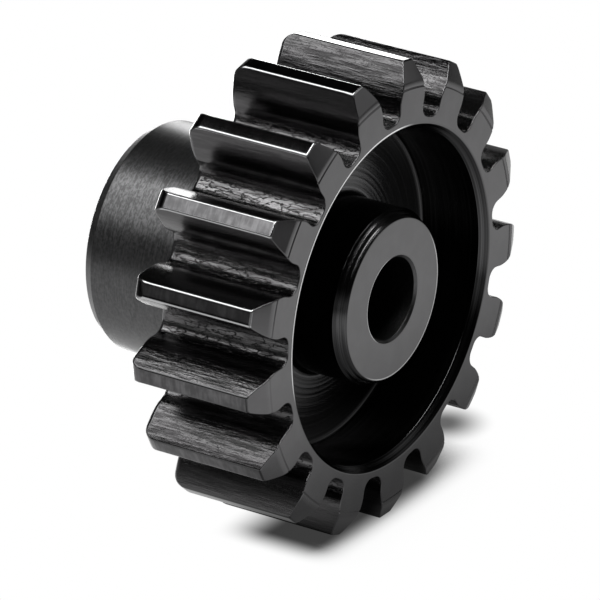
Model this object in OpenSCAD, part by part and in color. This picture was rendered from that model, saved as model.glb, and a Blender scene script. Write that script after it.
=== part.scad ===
// Pinion gear with a dished front and a plain hub, held on its shaft by a set screw in the hub.
// The gear stands on the hub's end: z = 0 is that end face, and +Z runs along the bore to the dish.

/* [Teeth] */
// Number of teeth
teeth = 17; // [14:1:30]
// Module: pitch diameter divided by the number of teeth
module_mm = 1.5; // [1.3:0.05:2]
// Pressure angle of the involute, in degrees
pressure_angle = 20; // [18:0.5:22]
// Width of the toothed part along the axis
face_w = 8.9; // [7:0.1:14]
// Height of a tooth above the pitch circle, in modules
addendum = 1; // [0.9:0.01:1]
// Depth of a gap below the pitch circle, in modules
dedendum = 1.25; // [1.1:0.01:1.3]
// How much each tooth is thinned at the pitch circle, so that it meshes with play
backlash = 0.05; // [0:0.01:0.15]
// Radius of the fillet at the foot of each tooth
root_fillet = 0.7; // [0.3:0.05:0.75]

/* [Tooth ends] */
// Radial width of the cone turned on the front ends of the teeth
front_cone_w = 1.57; // [0.5:0.01:2]
// How far that cone falls back along the axis at the tips
front_cone_drop = 0.63; // [0.2:0.01:1]
// Radius that the rear ends of the teeth are rounded to
rear_round = 0.9; // [0.3:0.05:1.2]

/* [Hub] */
// Diameter of the hub
hub_d = 14; // [12:0.1:18]
// Length of the hub behind the teeth
hub_len = 8.2; // [6.5:0.1:14]
// Radial width of the chamfer round the hub's end
hub_chamfer_w = 0.36; // [0.1:0.01:0.8]
// Length of that chamfer along the axis
hub_chamfer_len = 0.62; // [0.1:0.01:1.2]
// Fillet where the hub meets the back of the teeth
hub_fillet = 0.3; // [0.1:0.05:0.6]

/* [Dish] */
// Thickness of the rim left under the roots of the teeth, at the mouth of the dish
rim_wall = 0.33; // [0.2:0.01:0.9]
// Radial width of the lip turned round the mouth
lip_w = 0.48; // [0.2:0.01:0.8]
// Depth of that lip
lip_depth = 0.5; // [0.2:0.01:0.8]
// How much the wall of the dish draws in between the lip and the floor
wall_draft = 0.19; // [0:0.01:0.4]
// Depth of the dish
dish_depth = 4.4; // [3:0.1:5.5]
// Fillet in the corner between wall and floor
dish_fillet = 0.25; // [0.1:0.05:0.5]

/* [Boss] */
// Diameter of the boss where its side meets the floor of the dish
boss_d = 10.62; // [9:0.01:11]
// Radial width of the chamfer round the boss's face
boss_chamfer_w = 0.45; // [0.1:0.01:0.8]
// Depth of that chamfer along the axis
boss_chamfer_len = 0.7; // [0.1:0.01:1]

/* [Bore] */
// Diameter of the shaft bore
bore_d = 5; // [4:0.05:6]
// Chamfer at both mouths of the bore
bore_chamfer = 0.15; // [0.05:0.01:0.4]

/* [Set screw] */
// Outer diameter of the set screw's thread
screw_d = 4; // [3.5:0.1:4.5]
// Room left round the thread in its hole
screw_gap = 0.05; // [0.02:0.01:0.1]
// How far the screw's outer end lies below the hub's surface
screw_sink = 0.3; // [0.1:0.05:0.6]
// How far the screw's tip stops short of the bore
screw_backoff = 0.3; // [0.1:0.05:0.6]
// Width across the flats of the hexagon socket
socket_af = 2; // [1.3:0.1:2.2]
// Depth of the hexagon socket
socket_depth = 1.8; // [1:0.1:2.2]
// Chamfer round both ends of the screw
screw_chamfer = 0.4; // [0.2:0.05:0.6]
// Diameter of the hollow in the screw's cup point
cup_d = 1.9; // [1:0.1:2.1]
// Depth of the hollow in the cup point
cup_depth = 0.7; // [0.3:0.1:0.9]
// Chamfer round the mouth of the tapped hole
hole_chamfer = 0.3; // [0.1:0.05:0.5]

/* [Hidden] */

// Straight pieces that each curve is made of
flank_steps = 7;
fillet_steps = 4;
turned_fn = 128;
screw_fn = 48;
// How far a cut runs past the face it opens through
past = 1;

// Radii that the teeth are made from
pitch_r = module_mm * teeth / 2;
base_r = pitch_r * cos(pressure_angle);
tip_r = pitch_r + addendum * module_mm;
root_r = pitch_r - dedendum * module_mm;

// Places along the axis
overall_len = hub_len + face_w;
dish_floor_z = overall_len - dish_depth;

// Radii that the turning follows
hub_r = hub_d / 2;
bore_r = bore_d / 2;
boss_r = boss_d / 2;
boss_face_r = boss_r - boss_chamfer_w;
mouth_r = root_r - rim_wall;
wall_r = mouth_r - lip_w;
floor_r = wall_r - wall_draft;

// The set screw's axis crosses the hub halfway along it
screw_z = hub_len / 2;
screw_r = screw_d / 2;
screw_in = bore_r + screw_backoff;
screw_len = hub_r - screw_sink - screw_in;

// Involute function of an angle, in degrees
function inv(a) = tan(a) * 180 / PI - a;

// Half of the angle that a tooth takes up at radius r, from the base circle outwards
function half_tooth(r) =
    90 / teeth + inv(pressure_angle) - inv(acos(min(1, base_r / r)))
    - backlash / 2 / pitch_r * 180 / PI;

// Radius at which the root fillet runs into the foot of the flank
fillet_end_r = sqrt(pow(root_r + root_fillet, 2) - pow(root_fillet, 2));
// Radius at which the involute starts; below it the flank runs straight towards the axis
flank_start_r = max(base_r, fillet_end_r);
foot_half = half_tooth(flank_start_r);
// Angle between the flank and the middle of the root fillet, seen from the axis
fillet_turn = asin(root_fillet / (root_r + root_fillet));
// Radius that the flanks are drawn to, past the tips, which the turned blank then cuts
flank_end_r = tip_r + 0.2;

// A point at radius r and angle a
function polar(r, a) = [r * cos(a), r * sin(a)];

// Root fillet beside a tooth at angle 0, from the root circle to the flank
function fillet_points() = [
    for (i = [0:fillet_steps])
        let (t = 180 + (90 - fillet_turn) * i / fillet_steps,
             p = [root_r + root_fillet + root_fillet * cos(t), root_fillet * sin(t)],
             turn = foot_half + fillet_turn)
            [p.x * cos(turn) - p.y * sin(turn), p.x * sin(turn) + p.y * cos(turn)]
];

// Involute flank of that tooth, from its foot outwards
function flank_points() = [
    for (i = [0:flank_steps])
        let (r = flank_start_r + (flank_end_r - flank_start_r) * i / flank_steps)
            polar(r, half_tooth(r))
];

// One side of a tooth, from the root to past the tip, and its mirror image
upper_side = concat(fillet_points(), flank_points());
function mirrored(points) = [for (p = points) [p.x, -p.y]];
function reversed(points) = [for (i = [len(points) - 1:-1:0]) points[i]];
tooth_outline = concat(mirrored(upper_side), reversed(upper_side));

// Outline of the whole toothed part, one tooth after another
function turned(points, a) = [
    for (p = points) [p.x * cos(a) - p.y * sin(a), p.x * sin(a) + p.y * cos(a)]
];
gear_outline = [for (k = [0:teeth - 1]) each turned(tooth_outline, 360 * k / teeth)];

// Quarter fillet in a turned profile, round centre c, from angle a to angle b
function arc(c, r, a, b) = [
    for (i = [0:fillet_steps]) c + polar(r, a + (b - a) * i / fillet_steps)
];

// Envelope that the teeth are cut from: a turned disc with a cone in front and a rounded edge behind
module blank() {
    rotate_extrude($fn = turned_fn)
        polygon(concat(
            [[0, hub_len]],
            arc([tip_r - rear_round, hub_len + rear_round], rear_round, 270, 360),
            [
                [tip_r, overall_len - front_cone_drop],
                [tip_r - front_cone_w, overall_len],
                [0, overall_len]
            ]
        ));
}

// The toothed part, hobbed straight through the blank
module toothed_part() {
    intersection() {
        blank();
        translate([0, 0, hub_len - past])
            linear_extrude(height = face_w + 2 * past)
                polygon(gear_outline);
    }
}

// Plain hub behind the teeth, with its end chamfer and the fillet against the teeth
module hub() {
    rotate_extrude($fn = turned_fn)
        polygon(concat(
            [
                [0, 0],
                [hub_r - hub_chamfer_w, 0],
                [hub_r, hub_chamfer_len]
            ],
            arc([hub_r + hub_fillet, hub_len - hub_fillet], hub_fillet, 180, 90),
            [
                [hub_r + hub_fillet, hub_len + past],
                [0, hub_len + past]
            ]
        ));
}

// Ring-shaped hollow of the dish, between the boss and the rim
module dish_cut() {
    rotate_extrude($fn = turned_fn)
        polygon(concat(
            [
                [boss_face_r, overall_len + past],
                [boss_face_r, overall_len],
                [boss_r, overall_len - boss_chamfer_len]
            ],
            arc([boss_r + dish_fillet, dish_floor_z + dish_fillet], dish_fillet, 180, 270),
            arc([floor_r - dish_fillet, dish_floor_z + dish_fillet], dish_fillet, 270, 360),
            [
                [wall_r, overall_len - lip_depth],
                [mouth_r, overall_len],
                [mouth_r, overall_len + past]
            ]
        ));
}

// Shaft bore with a chamfer at each mouth
module bore_cut() {
    translate([0, 0, -past])
        cylinder(h = overall_len + 2 * past, r = bore_r, $fn = turned_fn);
    translate([0, 0, -bore_chamfer])
        cylinder(h = 2 * bore_chamfer, r1 = bore_r + 2 * bore_chamfer, r2 = bore_r, $fn = turned_fn);
    translate([0, 0, overall_len - bore_chamfer])
        cylinder(h = 2 * bore_chamfer, r1 = bore_r, r2 = bore_r + 2 * bore_chamfer, $fn = turned_fn);
}

// Places a shape that is drawn along +Z on the set screw's axis, with the bore's axis as z = 0
module on_screw_axis() {
    translate([0, 0, screw_z])
        rotate([0, 90, 0])
            children();
}

// Tapped hole from the hub's side into the bore, with a chamfer at its mouth
module screw_hole_cut() {
    hole_r = screw_r + screw_gap;
    on_screw_axis() {
        cylinder(h = hub_r + past, r = hole_r, $fn = screw_fn);
        translate([0, 0, hub_r - hole_chamfer])
            cylinder(h = hole_chamfer + past, r1 = hole_r, r2 = hole_r + hole_chamfer + past, $fn = screw_fn);
    }
}

// The gear itself, turned and hobbed from one bar
module pinion() {
    color([0.13, 0.13, 0.14])
        difference() {
            union() {
                toothed_part();
                hub();
            }
            dish_cut();
            bore_cut();
            screw_hole_cut();
        }
}

// Set screw: a stud with a cup point towards the bore and a hexagon socket in its outer end
module set_screw() {
    color([0.1, 0.1, 0.11])
        on_screw_axis()
            translate([0, 0, screw_in])
                difference() {
                    rotate_extrude($fn = screw_fn)
                        polygon([
                            [0, cup_depth],
                            [cup_d / 2, 0],
                            [screw_r - screw_chamfer, 0],
                            [screw_r, screw_chamfer],
                            [screw_r, screw_len - screw_chamfer],
                            [screw_r - screw_chamfer, screw_len],
                            [0, screw_len]
                        ]);
                    translate([0, 0, screw_len - socket_depth])
                        cylinder(h = socket_depth + past, r = socket_af / sqrt(3), $fn = 6);
                }
}

pinion();
set_screw();
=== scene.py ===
"""Looks of a black steel pinion gear: hobbed teeth, turned dish and hub, and the hub's set screw.

Lengths are written in millimetres and turned into metres where a mesh is made. The gear stands on the
end of its hub at z = 0, with the bore along +Z and the set screw along +X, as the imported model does.
"""

from __future__ import annotations

import logging
import math
from dataclasses import dataclass, field
from enum import Enum
from typing import Callable, Sequence

import bmesh
import bpy
import numpy as np
from mathutils import Matrix, Vector

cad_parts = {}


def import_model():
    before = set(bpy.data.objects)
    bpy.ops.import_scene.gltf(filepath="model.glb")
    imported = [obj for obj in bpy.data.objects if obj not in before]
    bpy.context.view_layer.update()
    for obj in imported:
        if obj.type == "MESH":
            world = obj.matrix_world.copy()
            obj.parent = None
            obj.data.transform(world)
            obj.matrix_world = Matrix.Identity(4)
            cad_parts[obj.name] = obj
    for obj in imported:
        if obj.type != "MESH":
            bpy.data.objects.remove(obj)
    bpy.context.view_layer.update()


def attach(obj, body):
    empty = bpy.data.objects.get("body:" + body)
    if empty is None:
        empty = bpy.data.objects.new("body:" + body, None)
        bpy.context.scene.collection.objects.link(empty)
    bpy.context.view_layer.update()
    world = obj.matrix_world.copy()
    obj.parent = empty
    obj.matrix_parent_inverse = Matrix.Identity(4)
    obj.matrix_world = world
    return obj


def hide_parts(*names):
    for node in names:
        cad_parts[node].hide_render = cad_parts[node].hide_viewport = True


LOG = logging.getLogger("pinion_looks")
MM = 0.001
# In metres: vertices closer than WELD are joined, and edges shorter than NO_LENGTH are dissolved
WELD = 2e-7
NO_LENGTH = 1e-9
# Lengths in millimetres that differ by less are the same, and so are angles in radians
SAME = 1e-6
SMALL_ANGLE = 1e-5
UP = Vector((0, 0, 1))

Point2 = tuple[float, float]
Point3 = tuple[float, float, float]


class Region(Enum):
    """The surfaces of the gear that a machinist would tell apart, by the material index they take."""

    FLANK = 0
    LAND = 1
    FACE = 2
    DISH = 3
    HUB = 4
    EDGE = 5
    RIM = 6


@dataclass(frozen=True)
class GearSizes:
    """Sizes of the gear in millimetres, the same as the solid's."""

    teeth: int = 17
    module: float = 1.5
    dedendum_modules: float = 1.25
    pressure_deg: float = 20.0
    hub_len: float = 8.2
    overall_len: float = 17.1
    backlash: float = 0.05
    root_fillet: float = 0.7
    cone_w: float = 1.57
    cone_drop: float = 0.63
    rear_round: float = 0.9
    hub_r: float = 7.0
    hub_chamfer_w: float = 0.36
    hub_chamfer_len: float = 0.62
    hub_fillet: float = 0.3
    mouth_r: float = 10.545
    lip_w: float = 0.48
    lip_depth: float = 0.5
    wall_draft: float = 0.19
    dish_depth: float = 4.4
    dish_fillet: float = 0.25
    boss_r: float = 5.31
    boss_chamfer_w: float = 0.45
    boss_chamfer_len: float = 0.7
    bore_r: float = 2.5
    bore_chamfer: float = 0.15
    screw_r: float = 2.0
    screw_gap: float = 0.05
    screw_sink: float = 0.3
    screw_backoff: float = 0.3
    hole_chamfer: float = 0.3

    @property
    def pitch_r(self) -> float:
        """Pitch radius."""
        return self.module * self.teeth / 2

    @property
    def base_r(self) -> float:
        """Base circle's radius."""
        return self.pitch_r * math.cos(math.radians(self.pressure_deg))

    @property
    def tip_r(self) -> float:
        """Radius of the tips."""
        return self.pitch_r + self.module

    @property
    def root_r(self) -> float:
        """Radius of the gap bottoms."""
        return self.pitch_r - self.dedendum_modules * self.module

    @property
    def pitch_angle(self) -> float:
        """Angle from one tooth to the next, in radians."""
        return 2 * math.pi / self.teeth

    @property
    def cone_start_r(self) -> float:
        """Radius at which the cone on the tooth ends begins."""
        return self.tip_r - self.cone_w

    @property
    def screw_z(self) -> float:
        """Height of the set screw's axis."""
        return self.hub_len / 2


@dataclass(frozen=True)
class Column:
    """A point of the tooth outline with the outline's outward normal there."""

    x: float
    y: float
    nx: float
    ny: float

    def mirrored(self) -> Column:
        """The same point on the other side of the tooth."""
        return Column(self.x, -self.y, self.nx, -self.ny)

    @property
    def r(self) -> float:
        """Distance from the bore's axis."""
        return math.hypot(self.x, self.y)


@dataclass
class MeshParts:
    """Vertices and faces that are gathered before a mesh is made, with a region for each face."""

    verts: list[Point3] = field(default_factory=list)
    faces: list[list[int]] = field(default_factory=list)
    regions: list[int] = field(default_factory=list)

    def vert(self, x: float, y: float, z: float) -> int:
        """Adds a vertex, in millimetres.

        Args:
            x: Place along X.
            y: Place along Y.
            z: Place along Z.

        Returns:
            The vertex's index.
        """
        self.verts.append((x, y, z))
        return len(self.verts) - 1

    def face(self, corners: Sequence[int], region: Region) -> None:
        """Adds a face, leaving out corners that repeat.

        Args:
            corners: Vertex indices, counter-clockwise from outside.
            region: The surface that the face belongs to.
        """
        kept = [c for i, c in enumerate(corners) if c != corners[i - 1]]
        if len(kept) > 2:
            self.faces.append(kept)
            self.regions.append(region.value)

    def mesh(self, name: str) -> bpy.types.Mesh:
        """Makes a Blender mesh in metres.

        Args:
            name: The mesh's name.

        Returns:
            The mesh, with the regions as material indices.
        """
        made = bpy.data.meshes.new(name)
        scaled = [(x * MM, y * MM, z * MM) for x, y, z in self.verts]
        made.from_pydata(scaled, [], self.faces)
        made.polygons.foreach_set("material_index", self.regions)
        made.validate(clean_customdata=False)
        made.update()
        return made


class ToothForm:
    """Outline of one tooth and half of each gap beside it, centred on +X."""

    TIP_STEPS = 4
    CORNER_STEPS = 4
    FLANK_STEPS = 26
    FILLET_STEPS = 8
    ROOT_STEPS = 3
    CORNER_R = 0.16

    def __init__(self, sizes: GearSizes) -> None:
        """Keeps the gear's sizes.

        Args:
            sizes: Sizes of the gear.
        """
        self.s = sizes

    def half_tooth(self, r: float) -> float:
        """Half of the angle that the tooth takes up.

        Args:
            r: Radius, on or outside the base circle.

        Returns:
            The angle in radians.
        """
        s = self.s
        start = math.radians(s.pressure_deg)
        here = math.acos(min(1.0, s.base_r / r))
        involute = (math.tan(start) - start) - (math.tan(here) - here)
        return math.pi / 2 / s.teeth + involute - s.backlash / 2 / s.pitch_r

    def flank(self, r: float) -> Column:
        """Point of the upper flank.

        Args:
            r: Radius, on or outside the base circle.

        Returns:
            The point, with the involute's normal.
        """
        a = self.half_tooth(r)
        pressure = math.acos(min(1.0, self.s.base_r / r))
        out, side = math.sin(pressure), math.cos(pressure)
        return Column(
            r * math.cos(a),
            r * math.sin(a),
            out * math.cos(a) - side * math.sin(a),
            out * math.sin(a) + side * math.cos(a),
        )

    def round_arc(self, r: float, a: float) -> Column:
        """Point of a circle round the bore, such as the tip or the root.

        Args:
            r: The circle's radius.
            a: Angle of the point, in radians.

        Returns:
            The point, with its normal away from the axis.
        """
        return Column(r * math.cos(a), r * math.sin(a), math.cos(a), math.sin(a))

    def upper_half(self) -> list[Column]:
        """The outline from the middle of the tip to the middle of the next gap.

        Returns:
            The columns in order of angle.
        """
        s = self.s
        tip_half = self.half_tooth(s.tip_r)
        edge = self.flank(s.tip_r)
        land = self.round_arc(s.tip_r, tip_half)
        dot = land.nx * edge.nx + land.ny * edge.ny
        reach = self.CORNER_R * math.sqrt((1 - dot) / (1 + dot))
        columns = [
            self.round_arc(s.tip_r, a)
            for a in np.linspace(0, tip_half - reach / s.tip_r, self.TIP_STEPS)[:-1]
        ]
        cx = edge.x - self.CORNER_R * (land.nx + edge.nx) / (1 + dot)
        cy = edge.y - self.CORNER_R * (land.ny + edge.ny) / (1 + dot)
        start = math.atan2(land.ny, land.nx)
        turn = math.acos(dot)
        for t in np.linspace(0, 1, self.CORNER_STEPS):
            a = start + turn * t
            nx, ny = math.cos(a), math.sin(a)
            columns.append(Column(cx + self.CORNER_R * nx, cy + self.CORNER_R * ny, nx, ny))
        fillet_end = math.sqrt((s.root_r + s.root_fillet) ** 2 - s.root_fillet**2)
        start_r = max(s.base_r, fillet_end)
        radii = set(np.linspace(start_r, s.tip_r - 2 * reach, self.FLANK_STEPS))
        radii |= {s.cone_start_r, s.tip_r - s.rear_round}
        columns += [self.flank(r) for r in sorted(radii, reverse=True)]
        foot = self.half_tooth(start_r)
        turned = math.asin(s.root_fillet / (s.root_r + s.root_fillet))
        middle = foot + turned
        centre_r = s.root_r + s.root_fillet
        mx, my = centre_r * math.cos(middle), centre_r * math.sin(middle)
        for t in np.linspace(1, 0, self.FILLET_STEPS):
            a = middle + math.pi + (math.pi / 2 - turned) * t
            nx, ny = -math.cos(a), -math.sin(a)
            columns.append(Column(mx - s.root_fillet * nx, my - s.root_fillet * ny, nx, ny))
        columns += [
            self.round_arc(s.root_r, a)
            for a in np.linspace(middle, s.pitch_angle / 2, self.ROOT_STEPS)[1:]
        ]
        return columns

    def outline(self) -> list[Column]:
        """The whole outline, from the middle of one gap to the middle of the next.

        Returns:
            The columns in order of angle.
        """
        upper = self.upper_half()
        lower = [c.mirrored() for c in reversed(upper[1:])]
        return lower + upper


@dataclass(frozen=True)
class EndShape:
    """How one end of the teeth is turned: flat up to a radius, and falling back outside it."""

    flat_z: float
    start_r: float
    up: int
    breaks: tuple[Point2, ...]

    @property
    def rings(self) -> list[float]:
        """Radii at which the slope changes, from the tips inwards."""
        return [self.start_r + out for out, _ in reversed(self.breaks)]

    def fall(self, r: float) -> float:
        """How far the end has fallen back.

        Args:
            r: Distance from the axis.

        Returns:
            The distance along the axis, in millimetres.
        """
        outs, falls = zip(*self.breaks)
        return float(np.interp(r - self.start_r, outs, falls))

    def height(self, r: float) -> float:
        """Height of the end's surface at a distance from the axis."""
        return self.flat_z - self.up * self.fall(r)

    def normal(self, r: float, x: float, y: float) -> np.ndarray:
        """Outward normal of the end's surface.

        Args:
            r: Distance from the axis, which tells the flat part from the rest.
            x: Place along X, for the normal's direction.
            y: Place along Y.

        Returns:
            A unit vector.
        """
        step = 0.01
        steep = (self.fall(r) - self.fall(r - step)) / step
        raw = np.array([steep * x / r, steep * y / r, float(self.up)])
        return raw / np.linalg.norm(raw)


class ToothSector:
    """Mesh of one tooth with its share of the rim, ready to be repeated round the axis."""

    ROWS = 13
    EDGE_R = 0.06
    EDGE_STEPS = 3
    FRONT_CORNER_R = 0.14
    REAR_EDGE_R = 0.38
    REAR_CORNER_R = 0.13
    REAR_STEPS = 5
    ROUND_ROWS = 8
    RIM_STEPS = 12
    ROUND_STEPS = 7
    # Below this angle an edge is left as it is
    FLAT_ANGLE = 0.02
    # How far below the tips a column still counts as the land, and as its rounded corner
    TIP_BAND = 0.002
    CORNER_BAND = 0.12
    # Where the rear edge's rounding starts to grow below the tips, and by how much for each millimetre
    REAR_FADE = 0.18
    REAR_GROWTH = 0.5
    BAND_W = 0.42
    BAND_SLOPE = 0.2
    BAND_EDGE_W = 0.04
    BAND_STEP = 0.015
    LINE_W = 0.11
    LINE_DEPTH = 0.09
    LINE_RISE = 0.1

    def __init__(self, sizes: GearSizes) -> None:
        """Keeps the sizes and the tooth form.

        Args:
            sizes: Sizes of the gear.
        """
        self.s = sizes
        self.form = ToothForm(sizes)
        s = sizes
        self.front = EndShape(s.overall_len, s.cone_start_r, 1, self.cone_breaks())
        self.rear = EndShape(s.hub_len, s.tip_r - s.rear_round, -1, self.round_breaks())

    def cone_breaks(self) -> tuple[Point2, ...]:
        """Profile of the front ends: a fine tool line, a narrow shallow band and the cone.

        Returns:
            Distance outwards from the cone's start, and fall, of each break.
        """
        s = self.s
        band_drop = self.BAND_W * self.BAND_SLOPE
        return (
            (0.0, 0.0),
            (self.LINE_W / 2, self.LINE_DEPTH),
            (self.LINE_W, self.LINE_RISE * self.LINE_DEPTH),
            (self.BAND_W - self.BAND_EDGE_W, band_drop - self.BAND_EDGE_W * self.BAND_SLOPE),
            (self.BAND_W + self.BAND_EDGE_W, band_drop + self.BAND_STEP),
            (s.cone_w, s.cone_drop),
        )

    def round_breaks(self) -> tuple[Point2, ...]:
        """Profile of the rear ends: a quarter round from the flat to the tips.

        Returns:
            Distance outwards from the round's start, and fall, of each break.
        """
        r = self.s.rear_round
        turns = np.linspace(0, math.pi / 2, self.ROUND_STEPS + 1)
        return tuple((r * math.sin(t), r * (1 - math.cos(t))) for t in turns)

    def edge_arc(self, c: Column, end: EndShape) -> list[np.ndarray]:
        """Rounded edge between the side of the teeth and one end.

        Args:
            c: The column of the outline.
            end: The end that the column runs up to.

        Returns:
            Points from the side to the end's surface.
        """
        side = np.array([c.nx, c.ny, 0.0])
        face = end.normal(c.r, c.x, c.y)
        corner = np.array([c.x, c.y, end.height(c.r)])
        dot = float(side @ face)
        radius = self.edge_radius(c, end)
        steps = self.EDGE_STEPS if end.up > 0 else self.REAR_STEPS
        centre = corner - radius * (side + face) / (1 + dot)
        angle = math.acos(max(-1.0, min(1.0, dot)))
        if angle < self.FLAT_ANGLE:
            return [corner] * (steps + 1)
        points = []
        for t in np.linspace(0, 1, steps + 1):
            a, b = math.sin((1 - t) * angle), math.sin(t * angle)
            points.append(centre + radius * (a * side + b * face) / math.sin(angle))
        last = points[-1]
        lift = end.height(math.hypot(last[0], last[1])) - last[2]
        return [p + np.array([0.0, 0.0, lift * k / steps]) for k, p in enumerate(points)]

    def edge_radius(self, c: Column, end: EndShape) -> float:
        """Radius of the rounded edge at one column.

        Args:
            c: The column of the outline.
            end: The end that the edge belongs to.

        Returns:
            A small radius in front, wider at the tips, and behind a wide one that narrows there.
        """
        if end.up > 0:
            return self.FRONT_CORNER_R if c.r > self.s.tip_r - self.CORNER_BAND else self.EDGE_R
        room = self.s.tip_r - self.REAR_FADE - c.r
        return min(self.REAR_EDGE_R, self.REAR_CORNER_R + self.REAR_GROWTH * max(0.0, room))

    def spoke(self, start: np.ndarray, end: EndShape) -> list[Point3]:
        """Points that run inwards over the sloping part of one end, to just inside its flat part.

        Args:
            start: Where the rounded edge ends on the cone.
            end: The end that the cone belongs to.

        Returns:
            Points from the rounded edge inwards.
        """
        r0 = math.hypot(start[0], start[1])
        ux, uy = start[0] / r0, start[1] / r0
        radii = [*end.rings, end.start_r - self.LINE_W / 2]
        return [(r * ux, r * uy, end.height(r)) if r < r0 else tuple(start) for r in radii]

    def build(self) -> MeshParts:
        """Builds the sector.

        Returns:
            The sector's mesh parts.
        """
        parts = MeshParts()
        columns = self.form.outline()
        chains, marks = [], []
        for c in columns:
            rear_arc = self.edge_arc(c, self.rear)[::-1]
            front_arc = self.edge_arc(c, self.front)
            low, high = rear_arc[-1][2], front_arc[0][2]
            rows = [
                np.array([c.x, c.y, low + (high - low) * t])
                for t in np.linspace(0, 1, self.ROWS + 1)[1:-1]
            ]
            rear_spoke, front_spoke = [], []
            if c.r > self.rear.start_r + SAME:
                rear_spoke = self.spoke(rear_arc[0], self.rear)[::-1]
            if c.r > self.front.start_r + SAME:
                front_spoke = self.spoke(front_arc[-1], self.front)
            points = [*rear_spoke, *rear_arc, *rows, *front_arc, *front_spoke]
            chains.append([parts.vert(*p) for p in points])
            marks.append((len(rear_spoke), len(rear_spoke) + len(rear_arc) + len(rows)))
        for i in range(len(columns) - 1):
            self._strip(parts, columns[i : i + 2], chains[i : i + 2], marks[i : i + 2])
        self._flat_end(parts, [c[-1] for c in chains], self.s.mouth_r, self.front)
        self._flat_end(parts, [c[0] for c in chains], self.s.hub_r + self.s.hub_fillet, self.rear)
        return parts

    def _strip(
        self,
        parts: MeshParts,
        pair: Sequence[Column],
        chains: Sequence[list[int]],
        marks: Sequence[tuple[int, int]],
    ) -> None:
        """Joins two neighbouring columns with faces.

        Args:
            parts: Where the faces go.
            pair: The two columns.
            chains: Their vertices, from the rear to the front.
            marks: For each, where its rear arc and its front arc start.
        """
        (a, b), (ma, mb) = chains, marks
        core = self.ROWS - 1 + self.REAR_STEPS + 1 + self.EDGE_STEPS + 1
        lowest = min(pair[0].r, pair[1].r)
        side = Region.FLANK
        # Columns at the rounded corners of the tips take the edge steel with its painted highlight, and
        # so do the front edges of the lands and corners
        if lowest > self.s.tip_r - self.TIP_BAND:
            side = Region.LAND
        elif lowest > self.s.tip_r - self.CORNER_BAND:
            side = Region.EDGE
        front = Region.FACE if side is Region.FLANK else Region.EDGE
        for k in range(core - 1):
            region = side
            if k < self.REAR_STEPS:
                region = Region.FACE
            elif k >= core - 1 - self.EDGE_STEPS:
                region = front
            ia, ib = ma[0] + k, mb[0] + k
            parts.face([a[ia], b[ib], b[ib + 1], a[ia + 1]], region)
        self._cone_strip(parts, a[: ma[0] + 1][::-1], b[: mb[0] + 1][::-1], flip=True)
        self._cone_strip(parts, a[ma[0] + core - 1 :], b[mb[0] + core - 1 :], flip=False)

    def _cone_strip(self, parts: MeshParts, a: list[int], b: list[int], flip: bool) -> None:
        """Joins the spokes of two columns, or one spoke and a column that has none.

        Args:
            parts: Where the faces go.
            a: The first column's vertices, from the edge inwards.
            b: The second column's vertices.
            flip: Whether the face looks down.
        """
        if len(a) == len(b):
            for k in range(len(a) - 1):
                quad = [a[k], b[k], b[k + 1], a[k + 1]]
                turned = Region.LAND if flip and k < self.ROUND_ROWS else Region.FACE
                parts.face(quad[::-1] if flip else quad, turned)
        elif len(a) == 1:
            fan = [a[0], *b]
            parts.face(fan[::-1] if flip else fan, Region.FACE)
        else:
            fan = [b[0], *a[::-1]]
            parts.face(fan[::-1] if flip else fan, Region.FACE)

    def _flat_end(self, parts: MeshParts, loop: list[int], inner_r: float, end: EndShape) -> None:
        """Closes one flat end, from the tooth outline in to a circle that the turned part shares.

        Args:
            parts: Where the face goes.
            loop: The outline's vertices on that end.
            inner_r: Radius of the circle.
            end: The end's shape.
        """
        half = self.s.pitch_angle / 2
        inner = [
            parts.vert(inner_r * math.cos(a), inner_r * math.sin(a), end.flat_z)
            for a in np.linspace(-half, half, self.RIM_STEPS + 1)
        ]
        ring = [*loop, *inner[::-1]]
        parts.face(ring if end.up > 0 else ring[::-1], Region.FACE)


@dataclass(frozen=True)
class Turn:
    """One corner of a turned profile, the stretch that leads to it, and its edge where that differs."""

    r: float
    z: float
    round: float = 0.0
    region: Region = Region.DISH
    step: float = 0.0
    groove: float = 0.0
    edge: Region | None = None


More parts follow.
